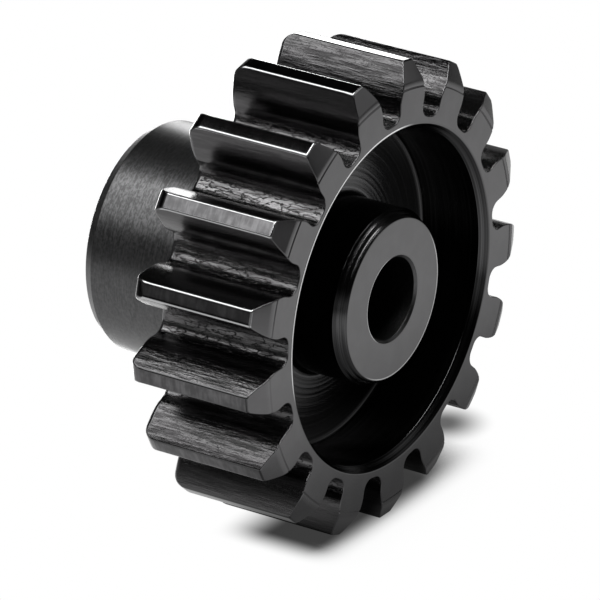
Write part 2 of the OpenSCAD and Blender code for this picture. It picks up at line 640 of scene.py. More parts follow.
class TurnedBody:
    """Everything that is turned: dish, boss, bore and hub, as one profile round the axis."""

    ARC_STEPS = 4
    ARC_SHARE = 0.45
    # The rings RIM_W wide at the mouth, the boss and the bore carry the rims' painted highlight
    RIM_W = 0.09
    RIM_DROP = 0.004
    BREAK_W = 0.03
    HUB_ROW = 0.3
    HUB_HALF_ROWS = 9
    HUB_ROWS_ABOVE = 11
    HUB_HALF_W = 13
    BORE_ROW = 0.4
    BORE_HALF_ROWS = 6
    BORE_HALF_W = 38
    UPPER_BORE_ROWS = (14.0, 11.0, 8.0)
    MOUTH_ROUNDS = 20
    GROOVE_SEED = 17

    def __init__(self, sizes: GearSizes) -> None:
        """Keeps the sizes.

        Args:
            sizes: Sizes of the gear.
        """
        self.s = sizes
        self.segments = sizes.teeth * ToothSector.RIM_STEPS
        self.random = np.random.default_rng(self.GROOVE_SEED)

    def corners(self) -> list[Turn]:
        """Corners of the profile, from the rim of the dish over the boss and through the bore.

        Returns:
            The corners in order.
        """
        s = self.s
        top, floor = s.overall_len, s.overall_len - s.dish_depth
        wall_r = s.mouth_r - s.lip_w
        floor_r = wall_r - s.wall_draft
        face_r = s.boss_r - s.boss_chamfer_w
        hub_end_r = s.hub_r - s.hub_chamfer_w
        c = s.bore_chamfer
        return [
            Turn(s.mouth_r, top),
            Turn(s.mouth_r - self.RIM_W, top - self.RIM_DROP, region=Region.RIM),
            # The break after the mouth's rim, and the rounded edge of the hub's end, take the edge steel
            # with its painted highlight
            Turn(s.mouth_r - self.RIM_W - self.BREAK_W, top - self.BREAK_W, region=Region.EDGE),
            Turn(wall_r, top - s.lip_depth, round=0.05, step=0.06, groove=0.006),
            Turn(floor_r, floor, round=s.dish_fillet, step=0.09, groove=0.006),
            Turn(s.boss_r, floor, round=s.dish_fillet, step=0.085, groove=0.008),
            Turn(s.boss_r, top - s.boss_chamfer_len, round=0.08, step=0.12, groove=0.004),
            Turn(face_r, top, round=0.045, step=0.07, groove=0.01),
            Turn(face_r - self.RIM_W, top, region=Region.RIM),
            Turn(s.bore_r + c + self.RIM_W / 2, top, region=Region.FACE),
            Turn(s.bore_r + c, top, round=0.03, region=Region.RIM),
            Turn(s.bore_r, top - c, round=0.03, region=Region.HUB),
            *[Turn(s.bore_r, z, region=Region.HUB) for z in self.bore_rows()],
            Turn(s.bore_r, c, round=0.03, region=Region.HUB),
            Turn(s.bore_r + c, 0.0, round=0.03, region=Region.HUB),
            Turn(hub_end_r, 0.0, 0.08, Region.HUB, step=0.1, groove=0.004, edge=Region.EDGE),
            Turn(s.hub_r, s.hub_chamfer_len, round=0.12, region=Region.HUB),
            *[Turn(s.hub_r, z, region=Region.HUB) for z in self.hub_rows()],
            Turn(s.hub_r, s.hub_len, round=s.hub_fillet, region=Region.HUB),
            Turn(s.hub_r + s.hub_fillet, s.hub_len, region=Region.HUB),
        ]

    def hub_rows(self) -> list[float]:
        """Heights of the rings on the hub's side, with the set screw's axis on one of them."""
        rows = range(-self.HUB_HALF_ROWS, self.HUB_ROWS_ABOVE + 1)
        return [self.s.screw_z + self.HUB_ROW * k for k in rows]

    def bore_rows(self) -> list[float]:
        """Heights of the rings in the bore, from the dish down past the set screw."""
        rows = range(self.BORE_HALF_ROWS, -self.BORE_HALF_ROWS - 1, -1)
        return [*self.UPPER_BORE_ROWS, *(self.s.screw_z + self.BORE_ROW * k for k in rows)]

    def profile(self) -> list[tuple[float, float, Region]]:
        """The profile with its corners rounded and its grooves cut.

        Returns:
            Radius, height and region of each point.
        """
        corners = self.corners()
        points: list[tuple[float, float, Region]] = [(corners[0].r, corners[0].z, Region.DISH)]
        for i in range(1, len(corners)):
            here = corners[i]
            before = np.array(points[-1][:2])
            at = np.array([here.r, here.z])
            arc = [at]
            if here.round > 0 and i + 1 < len(corners):
                after = np.array([corners[i + 1].r, corners[i + 1].z])
                arc = self._corner_arc(before, at, after, here.round)
            points += self._stretch(before, arc[0], here)
            points.append((float(arc[0][0]), float(arc[0][1]), here.region))
            points += [(float(p[0]), float(p[1]), here.edge or here.region) for p in arc[1:]]
        return points

    def _corner_arc(
        self, before: np.ndarray, at: np.ndarray, after: np.ndarray, radius: float
    ) -> list[np.ndarray]:
        """Arc that rounds one corner.

        Args:
            before: The profile's point before the corner.
            at: The corner.
            after: The corner after it.
            radius: Radius of the arc.

        Returns:
            Points along the arc.
        """
        u = (before - at) / np.linalg.norm(before - at)
        v = (after - at) / np.linalg.norm(after - at)
        half = math.acos(max(-1.0, min(1.0, float(u @ v)))) / 2
        reach = radius / math.tan(half)
        limit = self.ARC_SHARE * min(np.linalg.norm(before - at), np.linalg.norm(after - at))
        if reach > limit:
            reach, radius = limit, limit * math.tan(half)
        middle = (u + v) / np.linalg.norm(u + v)
        centre = at + middle * radius / math.sin(half)
        start, stop = at + u * reach - centre, at + v * reach - centre
        total = math.acos(max(-1.0, min(1.0, float(start @ stop) / radius**2)))
        points = []
        for t in np.linspace(0, 1, self.ARC_STEPS + 1):
            a, b = math.sin((1 - t) * total), math.sin(t * total)
            points.append(centre + (a * start + b * stop) / math.sin(total))
        return points

    def _stretch(
        self, a: np.ndarray, b: np.ndarray, turn: Turn
    ) -> list[tuple[float, float, Region]]:
        """Points between two corners, with the tool's feed marks.

        Args:
            a: Where the stretch starts.
            b: Where it ends.
            turn: Its spacing, groove depth and region.

        Returns:
            The points between the two ends.
        """
        length = float(np.linalg.norm(b - a))
        if turn.step <= 0 or length < 2 * turn.step:
            return []
        count = int(length / turn.step)
        normal = np.array([b[1] - a[1], a[0] - b[0]]) / length
        depth = turn.groove * self.random.uniform(-1, 1, count)
        return [
            (*(float(x) for x in a + (b - a) * k / count + normal * depth[k]), turn.region)
            for k in range(1, count)
        ]

    def build(self) -> MeshParts:
        """Turns the profile round the axis and opens the set screw's hole.

        Returns:
            The turned mesh parts.
        """
        s = self.s
        profile = self.profile()
        parts = MeshParts()
        start = -s.pitch_angle / 2
        angles = [start + 2 * math.pi * j / self.segments for j in range(self.segments)]
        rings = [
            [parts.vert(r * math.cos(a), r * math.sin(a), z) for a in angles]
            for r, z, _ in profile
        ]
        hub = ScrewWindow(self.segments, self.HUB_HALF_W, self.HUB_HALF_ROWS, self.HUB_ROW)
        bore = ScrewWindow(self.segments, self.BORE_HALF_W, self.BORE_HALF_ROWS, self.BORE_ROW)
        hub.locate(profile, s.hub_r, s.screw_z)
        bore.locate(profile, s.bore_r, s.screw_z)
        for i in range(len(rings) - 1):
            for j in range(self.segments):
                if hub.covers(i, j) or bore.covers(i, j):
                    continue
                k = (j + 1) % self.segments
                quad = [rings[i][j], rings[i][k], rings[i + 1][k], rings[i + 1][j]]
                parts.face(quad, profile[i + 1][2])
        self._screw_hole(parts, rings, hub, bore)
        return parts

    def _screw_hole(
        self,
        parts: MeshParts,
        rings: list[list[int]],
        hub: ScrewWindow,
        bore: ScrewWindow,
    ) -> None:
        """Joins the hub's side to the bore along the set screw's hole.

        Args:
            parts: Where the faces go.
            rings: The turned part's rings of vertices.
            hub: The window left open in the hub's side.
            bore: The window left open in the bore.
        """
        s = self.s
        hole_r = s.screw_r + s.screw_gap
        cone_start = s.hub_r - s.hole_chamfer

        def mouth_r(angle: float) -> float:
            """Radius of the chamfered mouth on the hub's round side.

            Args:
                angle: Angle round the screw's axis.

            Returns:
                The radius at which the chamfer meets the hub, found by repeated steps.
            """
            r = hole_r
            for _ in range(self.MOUTH_ROUNDS):
                x = math.sqrt(s.hub_r**2 - (r * math.cos(angle)) ** 2)
                r = max(hole_r, hole_r + x - cone_start)
            return r

        outer = hub.patch(parts, rings, s.hub_r, s.screw_z, mouth_r, steps=5, flip=False)
        inner = bore.patch(parts, rings, s.bore_r, s.screw_z, lambda _: hole_r, steps=3, flip=True)
        throat = []
        for angle, index in outer:
            x = min(cone_start, parts.verts[index][0])
            y, z = hole_r * math.cos(angle), hole_r * math.sin(angle)
            throat.append((angle, parts.vert(x, y, s.screw_z + z)))
        count = len(outer)
        for i in range(count):
            k = (i + 1) % count
            parts.face([outer[i][1], outer[k][1], throat[k][1], throat[i][1]], Region.HUB)
        self._zip(parts, throat, inner)

    def _zip(
        self, parts: MeshParts, a: list[tuple[float, int]], b: list[tuple[float, int]]
    ) -> None:
        """Joins two loops round the hole that have different numbers of points.

        Args:
            parts: Where the faces go.
            a: Angle and vertex of each point of the outer loop.
            b: The same for the inner loop.
        """
        a, b = sorted(a), sorted(b)
        i = j = 0
        while i < len(a) or j < len(b):
            next_a = a[(i + 1) % len(a)][0] + (2 * math.pi if i + 1 >= len(a) else 0)
            next_b = b[(j + 1) % len(b)][0] + (2 * math.pi if j + 1 >= len(b) else 0)
            here_a, here_b = a[i % len(a)][1], b[j % len(b)][1]
            if j >= len(b) or (i < len(a) and next_a <= next_b):
                parts.face([here_a, a[(i + 1) % len(a)][1], here_b], Region.HUB)
                i += 1
            else:
                parts.face([here_a, b[(j + 1) % len(b)][1], here_b], Region.HUB)
                j += 1


class ScrewWindow:
    """A window in a turned wall round the set screw's axis, filled by rings that close in on the hole."""

    SLACK = 1e-4

    def __init__(self, segments: int, half_width: int, half_rows: int, row_step: float) -> None:
        """Sets the window's size in cells of the turned wall.

        Args:
            segments: Number of segments of the turned part.
            half_width: Segments to each side of the screw's axis.
            half_rows: Rows above and below it.
            row_step: Distance between rows, in millimetres.
        """
        self.segments = segments
        self.half_width = half_width
        self.half_rows = half_rows
        self.row_step = row_step
        self.middle = ToothSector.RIM_STEPS // 2
        self.low = self.high = 0

    def locate(
        self, profile: list[tuple[float, float, Region]], wall_r: float, axis_z: float
    ) -> None:
        """Finds the rows of the profile that the window spans.

        Args:
            profile: The turned profile.
            wall_r: Radius of the wall.
            axis_z: Height of the screw's axis.
        """
        reach = self.half_rows * self.row_step + self.SLACK
        rows = [
            i
            for i, (r, z, _) in enumerate(profile)
            if abs(r - wall_r) < SAME and abs(z - axis_z) <= reach
        ]
        self.low, self.high = rows[0], rows[-1]

    def covers(self, i: int, j: int) -> bool:
        """Whether the window takes the place of a cell.

        Args:
            i: The cell's row.
            j: The cell's segment.

        Returns:
            True inside the window.
        """
        side = (j - self.middle + self.segments // 2) % self.segments - self.segments // 2
        return self.low <= i < self.high and -self.half_width <= side < self.half_width

    def patch(
        self,
        parts: MeshParts,
        rings: list[list[int]],
        wall_r: float,
        axis_z: float,
        hole_r: Callable[[float], float],
        steps: int,
        flip: bool,
    ) -> list[tuple[float, int]]:
        """Fills the window up to the hole's edge.

        Args:
            parts: Where the vertices and faces go.
            rings: The turned part's rings of vertices.
            wall_r: Radius of the wall.
            axis_z: Height of the screw's axis.
            hole_r: Radius of the hole's edge, by the angle round the screw's axis.
            steps: Number of rings between the window and the hole.
            flip: Whether the wall faces the axis.

        Returns:
            Angle round the screw's axis and vertex of each point of the hole's edge.
        """
        lo, hi = self.middle - self.half_width, self.middle + self.half_width
        low, high = self.low, self.high
        rising = parts.verts[rings[high][lo]][2] > parts.verts[rings[low][lo]][2]
        bottom, top = (low, high) if rising else (high, low)
        step = 1 if top > bottom else -1
        border = [rings[bottom][j % self.segments] for j in range(lo, hi)]
        border += [rings[i][hi % self.segments] for i in range(bottom, top, step)]
        border += [rings[top][j % self.segments] for j in range(hi, lo, -1)]
        border += [rings[i][lo % self.segments] for i in range(top, bottom, -step)]
        loop = border
        result: list[tuple[float, int]] = []
        for k in range(1, steps + 1):
            t = k / steps
            made, result = [], []
            for index in border:
                _, y, z = parts.verts[index]
                angle = math.atan2(z - axis_z, y)
                r = hole_r(angle)
                py = y * (1 - t) + r * math.cos(angle) * t
                pz = (z - axis_z) * (1 - t) + r * math.sin(angle) * t
                made.append(parts.vert(math.sqrt(wall_r**2 - py**2), py, axis_z + pz))
                result.append((angle, made[-1]))
            for i in range(len(loop)):
                n = (i + 1) % len(loop)
                quad = [loop[i], loop[n], made[n], made[i]]
                parts.face(quad[::-1] if flip else quad, Region.HUB)
            loop = made
        return result


class SetScrew:
    """The hub's set screw, with its thread, cup point and hexagon socket, along +X."""

    AROUND = 72
    THREAD_STEPS = 14
    PITCH = 0.7
    THREAD_DEPTH = 0.38
    # The thread's profile: steepness of its flanks, width of its crests, and room in the hole
    THREAD_SLOPE = 2.6
    THREAD_CREST = 0.12
    THREAD_GAP = 0.02
    SOCKET_AF = 2.0
    SOCKET_DEPTH = 1.8
    SOCKET_MOUTH_W = 0.12
    SOCKET_MOUTH_DEPTH = 0.1
    DRILL_DEPTH = 0.25
    DRILL_R = 0.02
    CUP_R = 0.95
    # Share of the cup's radius, and depth there
    CUP_PROFILE = ((0.02, 0.7), (0.55, 0.32), (1.0, 0.0))
    CUP_RIM_W = 0.06
    CHAMFER = 0.4

    def __init__(self, sizes: GearSizes) -> None:
        """Works out where the screw's ends lie.

        Args:
            sizes: Sizes of the gear.
        """
        self.s = sizes
        self.start = sizes.bore_r + sizes.screw_backoff
        self.length = sizes.hub_r - sizes.screw_sink - self.start

    def thread_r(self, along: float, angle: float) -> float:
        """Radius of the thread.

        Args:
            along: Distance from the cup point's end.
            angle: Angle round the screw.

        Returns:
            The radius, limited by the chamfers at both ends.
        """
        phase = (along / self.PITCH - angle / (2 * math.pi)) % 1.0
        ramp = min(1.0, max(0.0, abs(phase - 0.5) * self.THREAD_SLOPE - self.THREAD_CREST))
        thread = self.s.screw_r - self.THREAD_GAP - self.THREAD_DEPTH * ramp
        near = min(along, self.length - along)
        return min(thread, self.s.screw_r - self.CHAMFER + near)

    def build(self) -> bpy.types.Object:
        """Builds the screw in its steel.

        Returns:
            The finished object.
        """
        mesh = self.shape().mesh("grub_screw")
        mesh.materials.append(SCREW_STEEL.build())
        mesh.polygons.foreach_set("material_index", [0] * len(mesh.polygons))
        settle_normals(mesh)
        return new_object("grub_screw", mesh)

    def shape(self) -> MeshParts:
        """Builds the screw's surface.

        Returns:
            The screw's mesh parts.
        """
        parts = MeshParts()
        turns = self.length / self.PITCH
        rows = int(turns * self.THREAD_STEPS)
        loops = []
        for share, depth in self.CUP_PROFILE:
            loops.append(self._ring(parts, lambda a, q=share: self.CUP_R * q, depth))
        loops.append(self._ring(parts, lambda a: self.CUP_R + self.CUP_RIM_W, 0.0))
        for k in range(rows + 1):
            along = self.length * k / rows
            loops.append(self._ring(parts, lambda a, x=along: self.thread_r(x, a), along))
        hexagon = self.SOCKET_AF / 2
        socket = (
            (self.SOCKET_MOUTH_W, 0.0),
            (0.0, self.SOCKET_MOUTH_DEPTH),
            (0.0, self.SOCKET_DEPTH - self.DRILL_DEPTH),
            (0.0, self.SOCKET_DEPTH),
        )
        for grow, depth in socket:
            loops.append(
                self._ring(parts, lambda a, g=grow: self._hex_r(a, hexagon + g), self.length - depth)
            )
        drilled = self.length - self.SOCKET_DEPTH - self.DRILL_DEPTH
        loops.append(self._ring(parts, lambda a: self.DRILL_R, drilled))
        for a, b in zip(loops, loops[1:]):
            for i in range(self.AROUND):
                k = (i + 1) % self.AROUND
                parts.face([a[i], a[k], b[k], b[i]], Region.HUB)
        parts.face(loops[0][::-1], Region.HUB)
        parts.face(loops[-1], Region.HUB)
        return parts

    def _hex_r(self, angle: float, flat: float) -> float:
        """Distance from the axis to a hexagon's side.

        Args:
            angle: Angle round the screw.
            flat: Half of the width across the flats.

        Returns:
            The distance in millimetres.
        """
        sixth = math.pi / 3
        return flat / math.cos((angle % sixth) - sixth / 2)

    def _ring(self, parts: MeshParts, radius: Callable[[float], float], along: float) -> list[int]:
        """One loop of vertices round the screw.

        Args:
            parts: Where the vertices go.
            radius: Radius by angle.
            along: Distance from the cup point's end.

        Returns:
            The loop's vertices.
        """
        loop = []
        for i in range(self.AROUND):
            a = 2 * math.pi * i / self.AROUND
            r = radius(a)
            y, z = r * math.cos(a), r * math.sin(a)
            loop.append(parts.vert(self.start + along, y, self.s.screw_z + z))
        return loop


class Wire:
    """A shader or geometry socket that Python's own operators work on."""

    def __init__(self, board: Board, socket: bpy.types.NodeSocket) -> None:
        """Wraps a socket.

        Args:
            board: The board that holds the node.
            socket: An output socket.
        """
        self.board = board
        self.socket = socket

    def __add__(self, other: Wire | float) -> Wire:
        """Sum."""
        return self.board.math("ADD", self, other)

    def __radd__(self, other: float) -> Wire:
        """Sum, reflected."""
        return self.board.math("ADD", other, self)

    def __sub__(self, other: Wire | float) -> Wire:
        """Difference."""
        return self.board.math("SUBTRACT", self, other)

    def __rsub__(self, other: float) -> Wire:
        """Difference, reflected."""
        return self.board.math("SUBTRACT", other, self)

    def __mul__(self, other: Wire | float) -> Wire:
        """Product."""
        return self.board.math("MULTIPLY", self, other)

    def __rmul__(self, other: float) -> Wire:
        """Product, reflected."""
        return self.board.math("MULTIPLY", other, self)

    def __truediv__(self, other: Wire | float) -> Wire:
        """Quotient."""
        return self.board.math("DIVIDE", self, other)


class Board:
    """A node tree with short ways to add nodes and link them."""

    def __init__(self, tree: bpy.types.NodeTree) -> None:
        """Keeps the tree.

        Args:
            tree: A shader or geometry node tree.
        """
        self.tree = tree

    def node(
        self,
        kind: str,
        settings: dict[str, object] | None = None,
        inputs: dict[str | int, object] | None = None,
        output: str | int = 0,
    ) -> Wire:
        """Adds a node, sets it up and links its inputs.

        Args:
            kind: The node's type.
            settings: Properties to set before the inputs, such as an operation.
            inputs: Values or wires, by the name or the number of the input.
            output: Name or number of the output to return.

        Returns:
            The wire of that output.
        """
        made = self.tree.nodes.new(kind)
        for key, value in (settings or {}).items():
            setattr(made, key, value)
        for key, value in (inputs or {}).items():
            if isinstance(value, Wire):
                self.tree.links.new(value.socket, made.inputs[key])
            else:
                made.inputs[key].default_value = value
        return Wire(self, made.outputs[output] if len(made.outputs) else None)

    def math(self, operation: str, *values: Wire | float) -> Wire:
        """Adds a Math node.

        Args:
            operation: The node's operation.
            values: Its values or wires.

        Returns:
            The result's wire.
        """
        return self.node("ShaderNodeMath", {"operation": operation}, dict(enumerate(values)))

    def vector(self, operation: str, *values: object, output: int = 0) -> Wire:
        """Adds a Vector Math node.

        Args:
            operation: The node's operation.
            values: Its values or wires.
            output: Number of the output to return, which is 1 where the result is a number.

        Returns:
            The result's wire.
        """
        settings = {"operation": operation}
        return self.node("ShaderNodeVectorMath", settings, dict(enumerate(values)), output)

    def ramp(self, value: Wire, low: float, high: float, a: float = 0.0, b: float = 1.0) -> Wire:
        """Maps a range smoothly to another, and holds it at both ends.

        Args:
            value: What is mapped.
            low: Where the range starts.
            high: Where it ends.
            a: Result at the start.
            b: Result at the end.

        Returns:
            The mapped value.
        """
        settings = {"interpolation_type": "SMOOTHSTEP"}
        inputs = {"Value": value, "From Min": low, "From Max": high, "To Min": a, "To Max": b}
        return self.node("ShaderNodeMapRange", settings, inputs)

    def ramp_mm(self, length: Wire, span: Point2, a: float = 0.0, b: float = 1.0) -> Wire:
        """Maps a length smoothly, over a span in millimetres.

        Args:
            length: A length in metres.
            span: Where the span starts and ends.
            a: Result at the start.
            b: Result at the end.

        Returns:
            The mapped value.
        """
        return self.ramp(length, span[0] * MM, span[1] * MM, a, b)

    def object_place(self) -> Wire:
        """The place on the piece, in metres from its origin."""
        return self.node("ShaderNodeTexCoord", output="Object")

    def height_of(self, place: Wire) -> Wire:
        """The part of a place that lies along the bore."""
        return self.node("ShaderNodeSeparateXYZ", None, {"Vector": place}, "Z")

    def surface(self, shader: Wire) -> None:
        """Ends a material's tree with its surface."""
        self.node("ShaderNodeOutputMaterial", None, {"Surface": shader})


def new_material(name: str) -> tuple[bpy.types.Material, Board]:
    """Makes a material whose node tree is empty.

    Args:
        name: The material's name.

    Returns:
        The material and the board of its tree.
    """
    material = bpy.data.materials.new(name)
    material.use_nodes = True
    material.node_tree.nodes.clear()
    return material, Board(material.node_tree)


def new_object(name: str, data: bpy.types.ID) -> bpy.types.Object:
    """Makes an object at the origin and links it to the scene.

    Args:
        name: The object's name.
        data: Its mesh or its camera.

    Returns:
        The object.
    """
    made = bpy.data.objects.new(name, data)
    bpy.context.scene.collection.objects.link(made)
    return made


class Marks(Enum):
    """What a tool leaves on steel, and the highlights painted on edges and rims."""

    HOBBED = "hobbed flanks"
    TIPS = "turned tips"
    FACED = "faced ends"
    DISH = "turned dish"
    BRUSHED = "brushed hub"
    PAINTED_EDGE_HIGHLIGHT = "painted edge highlights"
    PAINTED_RIM_HIGHLIGHT = "painted rim highlights"


@dataclass(frozen=True)
class Sides:
    """Sides of the gear on which a mark shows: direction and half width of each, and the soft border."""

    spots: tuple[Point2, ...]
    border_deg: float

    def share(self, board: Board, place: Wire) -> Wire:
        """Tells the sides from the rest of the gear.

        Args:
            board: Where the nodes go.
            place: The place on the piece.

        Returns:
            1 on these sides and 0 elsewhere.
        """
        out = board.vector("NORMALIZE", board.vector("MULTIPLY", place, (1.0, 1.0, 0.0)))
        found: Wire | float = 0.0
        for angle_deg, half_deg in self.spots:
            a = math.radians(angle_deg)
            near = board.vector("DOT_PRODUCT", out, (math.cos(a), math.sin(a), 0.0), output=1)
            inner = math.cos(math.radians(half_deg))
            outer = math.cos(math.radians(half_deg + self.border_deg))
            found = board.math("MAXIMUM", board.ramp(near, outer, inner), found)
        return found


class SteelMarks:
    """Draws the marks on steel: their height, and how pale the steel is there, each round 0.5."""

    TORN_SIDES = Sides(((-135.0, 17.0), (97.0, 15.0), (-20.0, 25.0)), 7.0)
    PEBBLY_SIDE = Sides(((165.0, 12.0),), 16.0)
    # Side on which the edges carry a painted highlight; elsewhere they are painted dark
    EDGE_HIGHLIGHT_SIDE = Sides(((158.0, 38.0),), 8.0)
    # Sides on which the mouth, the bore and the boss carry a painted highlight; elsewhere they are
    # painted dark
    MOUTH_HIGHLIGHT_SIDE = Sides(((163.0, 48.0),), 12.0)
    BORE_HIGHLIGHT_SIDE = Sides(((190.0, 50.0),), 25.0)
    BOSS_HIGHLIGHT_SIDE = Sides(((-20.0, 60.0),), 25.0)
    # Radii over which one surface gives way to the next
    FOOT_TO_FLANK = (11.1, 11.9)
    BORE_TO_BOSS = (4.0, 4.1)
    BOSS_TO_MOUTH = (8.0, 8.1)
    # How far the crack noise may be from its middle within a crack
    CRACK_W = 0.03
    # Turned rings for each millimetre, on faced ends and in the dish
    FACED_RINGS = 14.0
    DISH_RINGS = 7.0

    def __init__(self, board: Board) -> None:
        """Keeps the board and the place on the piece.

        Args:
            board: The material's board.
        """
        self.board = board
        self.place = board.object_place()

    def draw(self, marks: Marks) -> tuple[Wire, Wire]:
        """Draws one kind of marks.

        Args:
            marks: The kind.

        Returns:
            The marks' height and paleness.
        """
        kinds = {
            Marks.HOBBED: self._hobbed,
            Marks.TIPS: self._tips,
            Marks.FACED: self._faced,
            Marks.DISH: self._dish,
            Marks.BRUSHED: self._brushed,
            Marks.PAINTED_EDGE_HIGHLIGHT: self._painted_edge_highlight,
            Marks.PAINTED_RIM_HIGHLIGHT: self._painted_rim_highlight,
        }
        return kinds[marks]()

    def _noise(self, per_mm: Point3, detail: float, rough: float) -> Wire:
        """Noise that can be finer along one axis than along another.

        Args:
            per_mm: Features per millimetre along each axis.
            detail: The noise's detail.
            rough: Its roughness.

        Returns:
            Values round 0.5.
        """
        spread = self.board.vector("MULTIPLY", self.place, tuple(x / MM for x in per_mm))
        inputs = {"Vector": spread, "Scale": 1.0, "Detail": detail, "Roughness": rough}
        return self.board.node("ShaderNodeTexNoise", None, inputs)

    def _cloud(self) -> Wire:
        """Large soft spots."""
        return self._noise((0.9, 0.9, 0.9), 3.0, 0.5)

    def _radius(self) -> Wire:
        """Distance from the bore's axis."""
        flat = self.board.vector("MULTIPLY", self.place, (1.0, 1.0, 0.0))
        return self.board.vector("LENGTH", flat, output=1)

    def _share(self, sides: Sides) -> Wire:
        """1 on some sides of the gear and 0 elsewhere."""
        return sides.share(self.board, self.place)

    def _hobbed(self) -> tuple[Wire, Wire]:
        """Lengthwise tears and streaks that the hob leaves, coarser at the foot of the teeth.

        Returns:
            The marks' height and paleness.
        """
        board = self.board
        streaks = self._noise((4.2, 4.2, 0.4), 5.0, 0.62)
        tears = self._noise((3.0, 3.0, 1.0), 3.0, 0.55)
        fine = self._noise((16.0, 16.0, 2.0), 2.0, 0.5)
        foot = board.ramp_mm(self._radius(), self.FOOT_TO_FLANK, 1.0, 0.0)
        torn = board.math("MAXIMUM", foot, self._share(self.TORN_SIDES))
        crack = 1 - board.ramp(board.math("ABSOLUTE", tears - 0.5), 0.0, self.CRACK_W)
        rough = 0.12 + torn * 0.55 - foot * 0.3
        height = (streaks - 0.5) * rough + (fine - 0.5) * 0.08 - crack * foot * 0.3 + 0.5
        pale = 0.5 + (board.ramp(streaks, 0.4, 0.6) - 0.5) * (0.25 + torn * 0.6) + foot * 0.12
        return height, pale * (1 - crack * torn * 0.9)

    def _tips(self) -> tuple[Wire, Wire]:
        """Turning marks round the tips of the teeth, with a little cloudiness.

        Returns:
            The marks' height and paleness.
        """
        lines = self._noise((0.5, 0.5, 3.5), 4.0, 0.6)
        cloud = self._noise((1.6, 1.6, 1.6), 3.0, 0.5)
        pale = self.board.ramp(lines * 0.6 + cloud * 0.4, 0.4, 0.65)
        return lines * 0.7 + cloud * 0.3, pale

    def _faced(self) -> tuple[Wire, Wire]:
        """Very fine rings of a faced surface.

        Returns:
            The marks' height and paleness.
        """
        cloud = self._cloud()
        rings = self.board.node(
            "ShaderNodeTexNoise",
            {"noise_dimensions": "1D"},
            {"W": self._radius() * (self.FACED_RINGS / MM), "Scale": 1.0, "Detail": 3.0},
        )
        return rings * 0.5 + cloud * 0.5, self.board.ramp(cloud, 0.35, 0.7)

    def _dish(self) -> tuple[Wire, Wire]:
        """Rings that a lathe tool leaves in the dish.

        Returns:
            The marks' height and paleness.
        """
        board, per_metre = self.board, self.DISH_RINGS / MM
        height = board.height_of(self.place)
        inputs = {"X": self._radius() * per_metre, "Y": height * per_metre}
        spread = board.node("ShaderNodeCombineXYZ", None, inputs)
        rings = board.node(
            "ShaderNodeTexNoise",
            {"noise_dimensions": "2D"},
            {"Vector": spread, "Scale": 1.0, "Detail": 4.0, "Roughness": 0.65},
        )
        return rings, board.ramp(rings, 0.4, 0.7)

    def _brushed(self) -> tuple[Wire, Wire]:
        """Fine lines round the hub, broken up by a pebbly grain that is strong on one side.

        Returns:
            The marks' height and paleness.
        """
        lines = self._noise((0.9, 0.9, 11.0), 5.0, 0.7)
        grain = self._noise((4.5, 4.5, 7.0), 3.0, 0.6)
        strong = 0.35 + self._share(self.PEBBLY_SIDE) * 0.65
        both = (lines + grain - 1) * 0.5 * strong + 0.5
        return both, self.board.ramp(both, 0.42, 0.6)

    def _painted_edge_highlight(self) -> tuple[Wire, Wire]:
        """Painted highlight on the edges: bright on one side of the gear and dark on the rest."""
        return self._cloud(), self._share(self.EDGE_HIGHLIGHT_SIDE)

    def _painted_rim_highlight(self) -> tuple[Wire, Wire]:
        """Painted highlights on the rims: the mouth and the bore bright on one side, the boss on the
        other.

        Returns:
            The marks' height and paleness.
        """
        board, radius = self.board, self._radius()
        mouth = board.ramp_mm(radius, self.BOSS_TO_MOUTH)
        bore = board.ramp_mm(radius, self.BORE_TO_BOSS, 1.0, 0.0)
        boss = 1 - mouth - bore
        pale = mouth * self._share(self.MOUTH_HIGHLIGHT_SIDE)
        pale = pale + bore * self._share(self.BORE_HIGHLIGHT_SIDE) * 0.5
        pale = pale + boss * self._share(self.BOSS_HIGHLIGHT_SIDE) * 0.5
        return self._cloud(), pale


@dataclass(frozen=True)
class BlackOxide:
    """Blackened steel: a thin dark oxide over the marks that the tool left, or over a highlight painted
    on edges and rims.
    """

    name: str
    tint: Point3
    roughness: float
    roughness_spread: float
    marks: Marks
    mark_depth: float
    contrast: float = 1.5

    def build(self) -> bpy.types.Material:
        """Makes the material.

        Returns:
            The finished material.
        """
        material, board = new_material(self.name)
        height, pale = SteelMarks(board).draw(self.marks)
        dark = (*(c / self.contrast for c in self.tint), 1.0)
        light = (*(c * self.contrast for c in self.tint), 1.0)
        colour = board.node("ShaderNodeMix", {"data_type": "RGBA"}, {0: pale, 6: dark, 7: light}, 2)
        depth = self.mark_depth * MM
        inputs = {
            "Base Color": colour,
            "Metallic": 1.0,
            "Roughness": self.roughness + self.roughness_spread * (height - 0.5),
            "Normal": board.node("ShaderNodeBump", None, {"Distance": depth, "Height": height}),
        }
        board.surface(board.node("ShaderNodeBsdfPrincipled", None, inputs))
        return material


